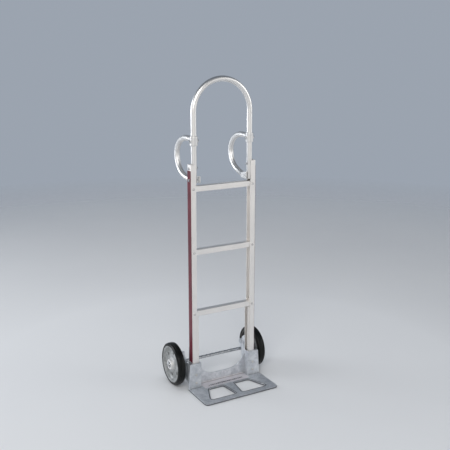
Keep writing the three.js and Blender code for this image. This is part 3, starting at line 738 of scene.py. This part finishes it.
def make_fasteners():
    for place in ("upper", "lower"):
        for stem, along in ((f"handle_bolt_{place}", "x"), (f"bracket_bolt_{place}", "y")):
            pair(stem, bolt_and_nut(f"{stem}_right", along), ZINC_LOOK)
        stem = f"nose_bolt_{place}"
        pair(stem, domed_bolt(f"{stem}_right"), DULL_LOOK)
    collar_bolt = bolt_and_nut("grip_collar_bolt_right", "x")
    pair("grip_collar_bolt", collar_bolt, ZINC_LOOK)
    for place in ("top", "middle", "bottom"):
        stem = f"brace_rivet_{place}"
        pair(stem, rivet(f"{stem}_right"), DULL_LOOK)


# -------------------- frame

def front_hole(x, z, start, end):
    return rod(start, end, HOLE_RADIUS, (x, 0, z), "y", sides=24)


def front_holes(heights, start, end):
    return [front_hole(RAIL_MID_X, z, start, end) for z in heights]


def side_holes(heights, start, end):
    return [rod(start, end, HOLE_RADIUS, (0, RAIL_MID_Y, z), "x", sides=24) for z in heights]


def channel(inner_x, outer_x, front_y, rear_y, wall, corner, z0, z1):
    """An extruded channel, open towards the middle of the truck, with rounded lips."""
    inside = 1.2 * MM
    lip = wall * 0.35
    outline = rounded([
        (inner_x, front_y, lip), (outer_x, front_y, corner), (outer_x, rear_y, corner),
        (inner_x, rear_y, lip), (inner_x, rear_y - wall, lip),
        (outer_x - wall, rear_y - wall, inside), (outer_x - wall, front_y + wall, inside),
        (inner_x, front_y + wall, lip),
    ], 4)
    return prism([outline], z0, z1, "z", 0.5 * MM, 2)


def make_rails():
    wall = 3.5 * MM
    past = 1 * MM
    body = channel(RAIL_INNER_X, RAIL_OUTER_X, FACE_Y, REAR_Y, wall, 2.6 * MM,
                   low("rail_right").z, high("rail_right").z)
    holes = side_holes(HANDLE_BOLT_Z, RAIL_OUTER_X - wall - past, RAIL_OUTER_X + past)
    holes += front_holes(BRACE_RIVET_Z + NOSE_BOLT_Z, FACE_Y - past, FACE_Y + wall + past)
    holes += front_holes(BRACKET_BOLT_Z, REAR_Y - wall - past, REAR_Y + past)
    pair("rail", cut(body, *holes), RAIL_LOOK)


def make_side_strips():
    (x0, y0, z0), (x1, y1, z1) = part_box("side_strip_right")
    section = rounded([(x0, y0, 0), (x1, y0, 0.9 * MM), (x1, y1, 0.9 * MM), (x0, y1, 0)], 4)
    strip = prism([section], z0, z1, "z", 0.3 * MM, 2)
    head_hole = rod(x0 - MM, x1 + MM, 9 * MM, (0, RAIL_MID_Y, HANDLE_BOLT_Z[1]), "x")
    pair("side_strip", cut(strip, head_hole), VINYL_LOOK)


def make_lower_channels():
    (x0, y0, z0), (x1, y1, z1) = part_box("lower_channel_right")
    wall = 3.2 * MM
    body = channel(x0, x1, y0, y1, wall, 1.8 * MM, z0, z1)
    holes = front_holes(NOSE_BOLT_Z, y0 - MM, y0 + wall + MM)
    holes += front_holes(BRACKET_BOLT_Z, y1 - wall - MM, y1 + MM)
    pair("lower_channel", cut(body, *holes), RAIL_LOOK)


def make_cross_brace(node):
    """A channel across the frame, open at the back, with a drawn groove along its top."""
    (x0, y0, z0), (x1, y1, z1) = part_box(node)
    wall = 3 * MM
    groove = 1.2 * MM
    corner = 2.4 * MM
    outline = rounded([
        (y0, z0, corner), (y1, z0, MM), (y1, z0 + wall, MM), (y0 + wall, z0 + wall, MM),
        (y0 + wall, z1 - wall, MM), (y1, z1 - wall, MM), (y1, z1, MM),
        (y0 + 8 * MM, z1, 0.6 * MM), (y0 + 7 * MM, z1 - groove, 0.4 * MM),
        (y0 + 5 * MM, z1 - groove, 0.4 * MM), (y0 + 4 * MM, z1, 0.6 * MM), (y0, z1, corner),
    ], 4)
    body = prism([outline], x0, x1, "x", 0.4 * MM, 2)
    holes = [front_hole(side * RAIL_MID_X, (z0 + z1) / 2, y0 - MM, y0 + wall + MM)
             for side in (-1, 1)]
    piece(node, cut(body, *holes), BRACE_LOOK)


# -------------------- handles

def make_loop_handle():
    """A tube bent to a half circle between two straight legs."""
    (x0, y0, z0), (x1, y1, z1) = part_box("loop_handle")
    tube = (y1 - y0) / 2
    wall = 2.6 * MM
    bend = (x1 - x0) / 2 - tube
    centre_z = z1 - tube - bend
    y = (y0 + y1) / 2
    straight = 10
    turn = 72
    leg = [z0 + (centre_z - z0) * k / straight for k in range(straight)]
    path = [Vector((bend, y, z)) for z in leg]
    path += [
        Vector((bend * math.cos(a), y, centre_z + bend * math.sin(a)))
        for a in (math.pi * k / turn for k in range(turn + 1))
    ]
    path += [Vector((-bend, y, z)) for z in reversed(leg)]
    soft = 0.6 * MM
    last = len(path) - 1

    def ring(radius, narrower):
        """Sections of one radius, but for the two ends, which are narrower."""
        return lambda k: circle(radius - (narrower if k in (0, last) else 0), 48)

    outside = section_rings(path, ring(tube, soft), (0, 1, 0))
    inside = section_rings(path, ring(tube - wall, 0), (0, 1, 0))
    body = loft(outside + inside[::-1], closed=True)
    reach = tube + MM
    holes = [
        rod(side * bend - reach, side * bend + reach, HOLE_RADIUS, (0, y, z), "x", sides=24)
        for side in (-1, 1) for z in [*HANDLE_BOLT_Z, COLLAR_BOLT_Z]
    ]
    piece("loop_handle", cut(body, *holes), TUBE_LOOK)


def make_handle_spacers():
    """Packing blocks. Their faces point inwards, a known defect."""
    (x0, y0, z0), (x1, y1, z1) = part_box("handle_spacer_right")
    body = block((x0, y0, z0), (x1, y1, z1), 1.2 * MM)
    pair("handle_spacer", cut(body, *side_holes(HANDLE_BOLT_Z, x0 - MM, x1 + MM)),
         CASTING_LOOK)


def spline(points, steps=10):
    """A smooth line through the points, by centripetal Catmull-Rom."""
    ends = [points[0] * 2 - points[1], *points, points[-1] * 2 - points[-2]]
    line = []
    for k in range(1, len(ends) - 2):
        p0, p1, p2, p3 = ends[k - 1:k + 3]
        t0 = 0.0
        t1 = t0 + math.sqrt((p1 - p0).length)
        t2 = t1 + math.sqrt((p2 - p1).length)
        t3 = t2 + math.sqrt((p3 - p2).length)
        for step in range(steps):
            t = t1 + (t2 - t1) * step / steps
            a1 = p0.lerp(p1, (t - t0) / (t1 - t0))
            a2 = p1.lerp(p2, (t - t1) / (t2 - t1))
            a3 = p2.lerp(p3, (t - t2) / (t3 - t2))
            b1 = a1.lerp(a2, (t - t0) / (t2 - t0))
            b2 = a2.lerp(a3, (t - t1) / (t3 - t1))
            line.append(b1.lerp(b2, (t - t1) / (t2 - t1)))
    return [*line, points[-1]]


def make_grips():
    """A cast D grip: a collar round the loop tube, a bar, and a lug inside the tube's foot."""
    tube = (high("loop_handle").y - low("loop_handle").y) / 2
    leg_x = high("loop_handle").x - tube
    collar_radius = 21.3 * MM
    boss = high("grip_right").x - leg_x
    top = high("grip_right").z
    collar = (COLLAR_BOLT_Z - 26 * MM, COLLAR_BOLT_Z + 26 * MM)
    at = (leg_x, RAIL_MID_Y, 0)
    lug_x = (low("grip_right").x, low("grip_right").x + 7 * MM)
    lug_z = low("grip_right").z
    reach = high("grip_right").y
    bar_radius = 15.5 * MM
    # Each point is (inwards from the leg, forwards from the grip's back, down from its top).
    line = scaled([
        (0, 206, 21), (0, 156, 17), (0, 106, 21), (0, 50, 47), (0, 21, 86), (0, 15.7, 126),
        (0, 28, 167), (0, 58, 203), (0, 104, 225), (4, 142, 233), (16, 188, 236),
    ])
    path = spline([Vector((leg_x - i, reach - f, top - d)) for i, f, d in line], 8)
    count = len(path) - 1
    end_share = 0.12
    end_width = 0.94

    def section(k):
        """A circle, a little slimmer where the bar meets the collar and the lug."""
        from_end = min(k, count - k) / count
        width = end_width + (1 - end_width) * min(from_end / end_share, 1)
        return circle(bar_radius * width, 28)

    bar = loft(section_rings(path, section, (1, 0, 0)))
    lug_y = (RAIL_MID_Y - 17 * MM, RAIL_MID_Y + 41 * MM)
    lug = prism([rounded([
        (lug_y[0], lug_z, 9 * MM), (lug_y[1], lug_z + 2 * MM, 12 * MM),
        (lug_y[1], lug_z + 30 * MM, 12 * MM), (lug_y[0], lug_z + 42 * MM, 9 * MM),
    ], 6)], *lug_x, "x", 1.2 * MM)
    bolt_boss = (leg_x - boss, leg_x + boss)
    through_boss = (0, RAIL_MID_Y, COLLAR_BOLT_Z)
    through_lug = (0, RAIL_MID_Y, HANDLE_BOLT_Z[1])
    body = joined(
        rod(*collar, collar_radius, at, "z", 3 * MM, 48),
        rod(*bolt_boss, 10 * MM, through_boss, "x", 1 * MM),
        bar, lug,
    )
    body = cast(body, 1.3 * MM, 4)
    body = cut(
        body,
        rod(collar[0] - MM, collar[1] + MM, tube + 0.5 * MM, at, "z", sides=48),
        rod(bolt_boss[0] - MM, bolt_boss[1] + MM, HOLE_RADIUS, through_boss, "x"),
        rod(lug_x[0] - MM, lug_x[1] + MM, HOLE_RADIUS, through_lug, "x"),
    )
    pair("grip", body, POLISHED_LOOK)


# -------------------- nose plate

def window(side, grow=0.0):
    """The outline of one opening in the toe plate, grown by a margin."""
    corners = scaled([
        (35, -56, 10), (126, -56, 14), (173, -168, 12), (166, -174, 4), (21, -174, 12),
    ])
    outline = rounded([(side * x, FACE_Y + y, r) for x, y, r in corners], 5)
    return inset(wound(outline, False), grow)


def toe_plate():
    """The flat plate, with a tongue to the rear under the sockets and the web."""
    (x0, y0, z0), (x1, y1, _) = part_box("nose_plate")
    outline = rounded([
        (x0, y0, 26 * MM), (x1, y0, 26 * MM),
        (x1, SOCKET_BACK_Y, 3 * MM), (SOCKET_OUTER_X, SOCKET_BACK_Y, 0),
        (SOCKET_OUTER_X, y1, 0), (-SOCKET_OUTER_X, y1, 0),
        (-SOCKET_OUTER_X, SOCKET_BACK_Y, 0), (x0, SOCKET_BACK_Y, 3 * MM),
    ], 8)
    return prism([outline, window(-1), window(1)], z0, PLATE_TOP, "z", 2.2 * MM)


def socket_parts(side):
    """The walls round one rail's foot: a face, two side walls and the foot itself."""
    x1, y1, z1 = high("nose_plate")
    root = PLATE_TOP / 2
    face = rounded([
        (side * SOCKET_INNER_X, root, 0), (side * x1, root, 0),
        (side * (x1 - MM), 24 * MM, 8 * MM), (side * (x1 - 9 * MM), z1, 3 * MM),
        (side * SOCKET_INNER_X, z1, 3 * MM),
    ], 3)
    parts = [prism([face], SOCKET_FACE_Y, SOCKET_BACK_Y, "y", 1.6 * MM)]
    inner_wall = (SOCKET_INNER_X, RAIL_INNER_X - 10.3 * MM)
    outer_wall = (RAIL_OUTER_X + CLEAR, SOCKET_OUTER_X)
    for wall in (inner_wall, outer_wall):
        wall_x = sorted(side * x for x in wall)
        parts.append(block((wall_x[0], SOCKET_FACE_Y + 2 * MM, root), (wall_x[1], y1, z1), MM))
    foot_x = sorted((side * SOCKET_INNER_X, side * SOCKET_OUTER_X))
    foot_top = low("rail_right").z - CLEAR
    parts.append(block((foot_x[0], SOCKET_FACE_Y + 3 * MM, root), (foot_x[1], y1, foot_top), MM))
    return parts


def plate_web():
    """The upright web between the sockets, low in the middle and rising to both of them."""
    root = PLATE_TOP / 2
    half = SOCKET_INNER_X + 1 * MM
    lowest, rise = 57 * MM, 80 * MM
    steps = 40
    arch = [(half - 2 * half * k / steps, lowest + rise * abs(1 - 2 * k / steps) ** 4)
            for k in range(steps + 1)]
    return prism([[(-half, root), (half, root), *arch]], *WEB_Y, "y", 1.5 * MM)


def plate_pockets():
    """Hollows in the underside, which leave a rim and ribs below a thin skin."""
    start, end = low("nose_plate").z - MM, PLATE_TOP - 5.5 * MM
    half = 140 * MM
    pockets = [block((-half, BAND_FRONT_Y, start), (half, FACE_Y + 18 * MM, end), MM)]
    corners = scaled([(190, -168, 4), (219, -168, 4), (219, -30, 4), (148, -30, 4)])
    for side in (-1, 1):
        pocket = rounded([(side * x, FACE_Y + y, r) for x, y, r in corners], 3)
        pockets.append(prism([pocket], start, end, "z"))
    return pockets


def mark(x, y, edge=0.0):
    """What cuts a rectangular mark into the top of the toe plate."""
    return block((x[0], y[0], MARK_Z[0]), (x[1], y[1], MARK_Z[1]), edge)


def plate_grooves():
    """Grooves round the windows and at the feet of the web and the sockets."""
    grooves = []
    for side in (-1, 1):
        outer, inner = window(side, 8 * MM), window(side, 3.4 * MM)
        grooves.append(prism([wound(outer, True), inner], *MARK_Z, "z"))
    web_half = 144 * MM
    grooves.append(mark((-web_half, web_half), (WEB_Y[0] - 4.6 * MM, WEB_Y[0] - MM)))
    socket_x = (SOCKET_INNER_X + 2 * MM, high("nose_plate").x - 9 * MM)
    for side in (-1, 1):
        grooves.append(mark(sorted(side * x for x in socket_x),
                            (SOCKET_FACE_Y - 4.2 * MM, SOCKET_FACE_Y - MM)))
    return grooves


def plate_strokes():
    """A row of sunk strokes of three widths, in place of the cast letters of the photo."""
    count = 19
    first, length = -107, 212
    narrowest, step = 2.6, 1.2
    stroke_y = (FACE_Y - 27 * MM, FACE_Y - 14 * MM)
    strokes = []
    for k in range(count):
        x = (first + length * k / (count - 1)) * MM
        half = (narrowest + step * ((k * 7) % 3)) * MM
        strokes.append(mark((x - half, x + half), stroke_y, 0.4 * MM))
    return strokes


def make_nose_plate():
    """A cast toe plate with two windows, a socket for each rail and a web between them."""
    body = joined(toe_plate(), *socket_parts(-1), *socket_parts(1), plate_web())
    body = cast(cut(body, *plate_pockets()), 2 * MM, 2)
    holes = [
        front_hole(side * RAIL_MID_X, z, SOCKET_FACE_Y - MM, SOCKET_BACK_Y + MM)
        for side in (-1, 1) for z in NOSE_BOLT_Z
    ]
    body = cut(body, *plate_grooves(), *plate_strokes(), *holes)
    piece("nose_plate", body, CASTING_LOOK)


# -------------------- axle and brackets

def make_brackets():
    """A cast bracket behind each rail: a flange, a gusset, an ear, and an arm up to a horn."""
    (x0, y0, z0), (x1, _, z1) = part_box("axle_bracket_right")
    wall = 7 * MM
    flange = y0 + wall
    ear_x = (RAIL_OUTER_X + MM, RAIL_OUTER_X + MM + wall)
    gusset_x = (x0, x0 + 6 * MM)
    ear_top = 138 * MM
    horn = (0, FACE_Y + 138 * MM, 161 * MM)
    horn_x = (182 * MM, ear_x[1] + MM)

    def side_view(corners):
        return rounded([(FACE_Y + y, z, r) for y, z, r in scaled(corners)], 5)

    ear = side_view([(42.3, 28, 0), (112, 32, 14), (140, 96, 20), (140, 132, 12), (118, 138, 10),
                     (72, 131, 12), (42.3, 138, 0)])
    arm = side_view([(104, 122, 8), (136, 118, 8), (150, 156, 7), (144, 170, 7), (126, 166, 8),
                     (118, 142, 8)])
    gusset = side_view([(42.3, 44, 0), (82, 60, 10), (92, 100, 12), (97, 126, 12), (86, 152, 12),
                        (92, 196, 12), (78, 218, 12), (42.3, 232, 0)])
    slot = side_view([(66, 164, 3), (76, 164, 3), (79, 186, 3), (69, 186, 3)])
    at = (0, AXLE.y, AXLE.z)
    pin = (horn_x[0] - 2.5 * MM, horn_x[0] + 4 * MM)
    body = joined(
        block((x0, y0, z0), (RAIL_OUTER_X - CLEAR, flange, z1), 1.2 * MM),
        block((RAIL_MID_X, y0, z0), (ear_x[1], flange, ear_top), 1.2 * MM),
        prism([gusset, slot], *gusset_x, "x", 1.5 * MM),
        prism([ear], *ear_x, "x", 1.5 * MM),
        prism([arm], horn_x[0] + 3 * MM, ear_x[1], "x", 2 * MM),
        rod(*horn_x, 11 * MM, horn, "x", 1.5 * MM),
        rod(horn_x[0] - MM, x1, 16 * MM, at, "x", 1.5 * MM, 40),
    )
    body = cast(body, 1.3 * MM, 3)
    body = cut(
        body,
        rod(x0 - 5 * MM, x1 + 5 * MM, 9.4 * MM, at, "x", sides=40),
        *front_holes(BRACKET_BOLT_Z, y0 - MM, flange + MM),
    )
    body = joined(body, rod(*pin, 5 * MM, horn, "x", MM))
    pair("axle_bracket", body, CASTING_LOOK)


def make_axle():
    """A round bar, chamfered at both ends, with a groove near each for its clip."""
    end = high("axle").x
    radius = 9 * MM
    seat = 7.4 * MM
    play = 0.15 * MM
    chamfer = 1.5 * MM
    groove = (low("axle_clip_right").x - play, high("axle_clip_right").x + play)
    half = [(groove[0], radius), (groove[0], seat), (groove[1], seat), (groove[1], radius),
            (end - chamfer, radius), (end, radius - chamfer), (end, 0)]
    other = [(-x, r) for x, r in reversed(half)]
    piece("axle", turned([*other, *half], 48, (0, AXLE.y, AXLE.z)), ZINC_LOOK)


def ring_about_axle(node, bore):
    """A plain ring on the axle with its outer edges broken."""
    (x0, y0, _), (x1, y1, _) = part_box(node)
    outer = (y1 - y0) / 2
    edge = 0.5 * MM
    profile = rounded([(x0, bore, 0), (x0, outer, edge), (x1, outer, edge), (x1, bore, 0)], 3)
    return turned(profile, 48, (0, AXLE.y, AXLE.z))


def make_axle_rings():
    """The spacers and washers beside the wheels, and the spring clips, open at the front."""
    for stem in ("inner_spacer", "outer_washer"):
        pair(stem, ring_about_axle(f"{stem}_right", AXLE_BORE), ZINC_LOOK)
    (x0, _, _), (x1, _, _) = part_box("axle_clip_right")
    seat, outer = 7.7 * MM, 12.4 * MM
    half_arc = math.pi * 0.88
    steps = 40
    angles = [-half_arc + 2 * half_arc * k / steps for k in range(steps + 1)]
    rim = [(AXLE.y + outer * math.cos(a), AXLE.z + outer * math.sin(a)) for a in angles]
    hollow = [(AXLE.y + seat * math.cos(a), AXLE.z + seat * math.sin(a)) for a in reversed(angles)]
    clip = prism([rim + hollow], x0, x1, "x", 0.2 * MM, 2)
    pair("axle_clip", clip, BEARING_LOOK)


# -------------------- wheels

def wheel_turned(corners, sides, steps=4):
    """A ring turned about the right-hand wheel; corners are (outwards, radius, rounding) in mm."""
    profile = rounded([(WHEEL_X + x, r, c) for x, r, c in scaled(corners)], steps)
    return turned(profile, sides, (0, AXLE.y, AXLE.z))


def make_tyres():
    """A solid rubber tyre: crowned tread, a groove near its outer shoulder, stepped sidewalls."""
    bond = 104.3
    body = wheel_turned([
        (-23, bond, 0), (-23, 108, 2), (-21, 112, 2.5), (-18, 117.4, 3), (-10, 119.9, 4),
        (0, 120, 2), (6.4, 119.8, 1.4), (7.8, 116.6, 1), (10.4, 116.6, 1), (11.8, 119.0, 1.4),
        (17, 117.8, 3), (21, 112, 2.5), (23, 108, 2), (23, bond, 0),
    ], 160)
    pair("tyre", body, RUBBER_LOOK, WHEELS)


def make_hubs():
    """A cast hub: a deep rim, a dished web with round holes, and a boss for the bearings."""
    bore = 20.3
    end = (high("hub_right").x - WHEEL_X) / MM
    body = wheel_turned([
        (-20.5, 93, 1.5), (-20.5, 104, 1.5), (20.5, 104, 1.5), (20.5, 96, 1.5), (18.5, 94, 1.5),
        (10, 89.5, 4), (4, 82, 5), (7, 40, 8), (16, 30, 5), (end - 2, 28, 1), (end, 26.6, 0.8),
        (end, bore, 0.6), (-end, bore, 0.6), (-end, 27, 2), (-2, 34, 8), (-4, 82, 6), (-17, 92, 4),
    ], 128, 5)
    holes = []
    count = 6
    first = 0.65
    from_axle = 66 * MM
    for k in range(count):
        angle = FULL_TURN * k / count + first
        at = (WHEEL_X, AXLE.y + from_axle * math.cos(angle), AXLE.z + from_axle * math.sin(angle))
        holes.append(rod(-14 * MM, 16 * MM, 9 * MM, at, "x", sides=32))
    pair("hub", cut(body, *holes), HUB_LOOK, WHEELS)


def make_bearings():
    """Sealed ball bearings: two races with a recessed shield between them, and their sleeve."""
    bore, outer = 9.3, 19.9
    shield_depth = 0.8
    for end, place in ((1, "outer"), (-1, "inner")):
        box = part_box(f"bearing_{place}_right")
        faces = [(x - WHEEL_X) / MM for x in (box[0].x, box[1].x)]
        out, back = (faces[1], faces[0]) if end > 0 else (faces[0], faces[1])
        deep = out - end * shield_depth
        body = wheel_turned([
            (back, bore, 0.5), (back, outer, 0.6), (out, outer, 0.8), (out, 17.4, 0.2),
            (deep, 17.2, 0), (deep, 13.0, 0), (out, 12.8, 0.2), (out, bore, 0.5),
        ], 64, 3)
        pair(f"bearing_{place}", body, BEARING_LOOK, WHEELS)
    sleeve = ring_about_axle("bearing_sleeve_right", AXLE_BORE)
    pair("bearing_sleeve", sleeve, ZINC_LOOK, WHEELS)


# -------------------- studio

def make_floor():
    """A pale round floor that fades into the backdrop far away from the truck."""
    near, far = 1.5, 7.0
    thickness = 0.02
    ground = loft([[Vector((x, y, z)) for x, y in circle(far, 96)] for z in (-thickness, 0.0)])
    floor = placed("floor", ground)
    look = Look("pale_floor", (0.78, 0.79, 0.80), 0.0, 0.75)
    clouds = look.noise(0.8, 3)
    look.colour(look.mixed(look.span(clouds, 0.3, 0.7), (0.78, 0.79, 0.80), (0.76, 0.77, 0.785)))
    distance = look.added("VectorMath")
    distance.operation = "LENGTH"
    look.links.new(look.place, distance.inputs[0])
    solid = look.span(distance.outputs["Value"], near, far * 0.98, 1, 0)
    look.links.new(solid, look.shader.inputs["Alpha"])
    ground.materials.append(look.material)


def soft_lamp(name, place, target, size, watts, colour):
    """A square lamp aimed at a point."""
    data = bpy.data.lights.new(name, "AREA")
    data.shape = "SQUARE"
    data.size = size
    data.energy = watts
    data.color = colour
    lamp = placed(name, data)
    lamp.location = place
    lamp.rotation_euler = (Vector(target) - lamp.location).to_track_quat("-Z", "Y").to_euler()
    return lamp


def make_backdrop():
    """A plain surround: bright in front of the truck, mid grey behind it, darker overhead."""
    world = bpy.data.worlds.new("studio")
    world.use_nodes = True
    graph = Graph(world.node_tree, "Generated")
    front, rear, overhead = (0.66, 0.655, 0.65), (0.33, 0.37, 0.43), (0.13, 0.15, 0.18)
    backwards = graph.span(graph.axis("Y"), -0.35, 0.45, easing="SMOOTHSTEP")
    upwards = graph.span(graph.axis("Z"), 0.15, 0.8, easing="SMOOTHSTEP")
    sky = graph.mixed(upwards, graph.mixed(backwards, front, rear), overhead)
    graph.links.new(sky, graph.nodes["Background"].inputs["Color"])
    bpy.context.scene.world = world


def make_studio():
    bpy.context.scene.view_settings.view_transform = "Standard"
    make_backdrop()
    chest = (0, 0, 0.7)
    soft_lamp("key", (-3.2, -4.2, 4.2), chest, 3.0, 170, (1.0, 0.98, 0.95))
    soft_lamp("fill", (4.2, -3.2, 2.4), chest, 2.6, 40, (0.96, 0.98, 1.0))
    soft_lamp("side", (-3.8, 3.0, 2.0), chest, 2.4, 90, (0.95, 0.97, 1.0))
    overhead = soft_lamp("overhead", (0.6, 1.8, 6.5), (0, 1.0, 0), 6.0, 120, (0.97, 0.98, 1.0))
    overhead.visible_glossy = False


def make_camera():
    """The photo's view: from the left of the load side, looking down a little."""
    data = bpy.data.cameras.new("camera")
    data.sensor_width = 36
    data.lens = 57.6
    data.shift_y = -0.043
    camera = placed("camera", data)
    camera.location = (-1.8592, -3.3348, 1.8603)
    pitch = math.radians(12.33)
    yaw = math.radians(29.31)
    camera.rotation_euler = (math.pi / 2 - pitch, 0, -yaw)
    bpy.context.scene.camera = camera


make_rails()
make_side_strips()
make_lower_channels()
for brace in BRACES:
    make_cross_brace(brace)
make_loop_handle()
make_handle_spacers()
make_grips()
make_nose_plate()
make_brackets()
make_axle()
make_axle_rings()
make_tyres()
make_hubs()
make_bearings()
make_fasteners()
make_floor()
make_studio()
make_camera()
